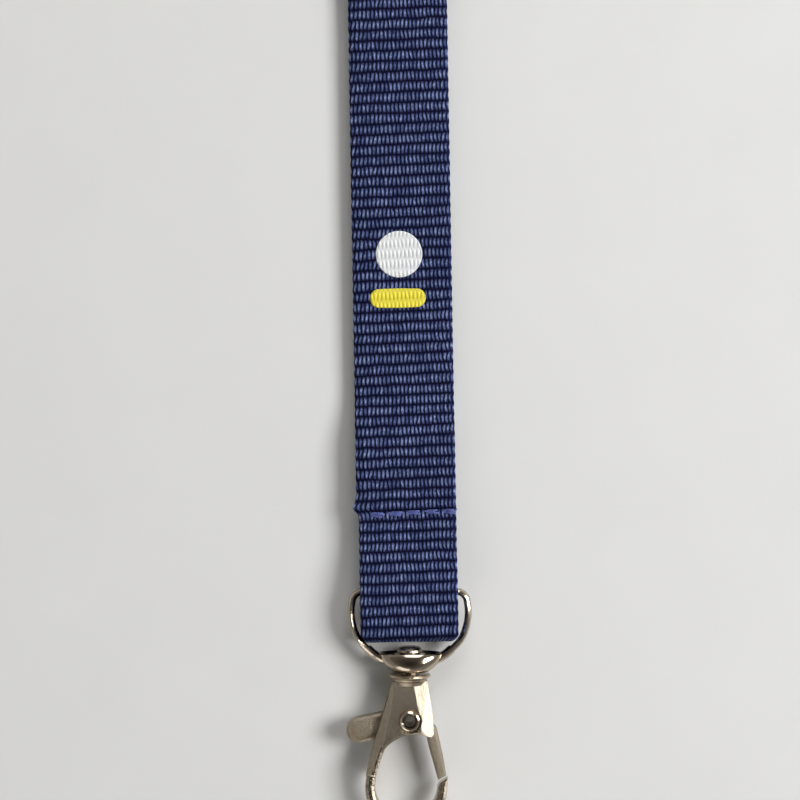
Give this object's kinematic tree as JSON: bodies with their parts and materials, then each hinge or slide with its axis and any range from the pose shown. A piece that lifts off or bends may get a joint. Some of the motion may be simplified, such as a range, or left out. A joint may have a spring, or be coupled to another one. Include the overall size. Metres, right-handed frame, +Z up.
{
  "type": "neck lanyard",
  "caption": "Neck lanyard of ribbed woven webbing, folded and sewn around a D-ring that carries a swivelling trigger hook; the neck loop is folded into a banded hank.",
  "frame": {"origin": "middle of the footprint, on the surface the lanyard lies on", "axes": "+Z up from the surface, +Y from the hook towards the neck end, +X to the right seen from above"},
  "size_m": [0.0212, 0.2558, 0.0108],
  "materials": {
    "webbing": "ribbed woven polyester",
    "thread": "sewing thread",
    "white_print": "screen print",
    "yellow_print": "screen print",
    "nickel": "nickel plated, fine pits and scratches",
    "cast_nickel": "dull cast plating",
    "spring_steel": "drawn wire",
    "elastic": "matt"
  },
  "bodies": {
    "strap": {"strap_front": "webbing", "strap_back": "webbing", "neck_hank": "webbing", "hank_band": "elastic", "seam_thread_top": "thread", "print_round": "white_print", "print_bar": "yellow_print"},
    "ring": {"ring": "nickel"},
    "hook": {"hook_body": "nickel", "pivot_rivet": "nickel", "gate_spring": "spring_steel"},
    "gate": {"gate_lever": "cast_nickel"}
  },
  "joints": [
    {"name": "ring_swing", "type": "hinge", "parent": "strap", "child": "ring", "pos_m": [0.00103, -0.09147, 0.0033], "axis": [1, 0, 0], "range_deg": [-90, 90]},
    {"name": "hook_swivel", "type": "hinge", "parent": "ring", "child": "hook", "pos_m": [0.00103, -0.104, 0.0033], "axis": [0, 1, 0], "continuous": true},
    {"name": "gate_pivot", "type": "hinge", "parent": "hook", "child": "gate", "pos_m": [0.00103, -0.11117, 0.0033], "axis": [0, 0, 1], "range_deg": [-30, 0], "stiffness_Nm_per_rad": 0.01, "springref_deg": 20.05}
  ]
}
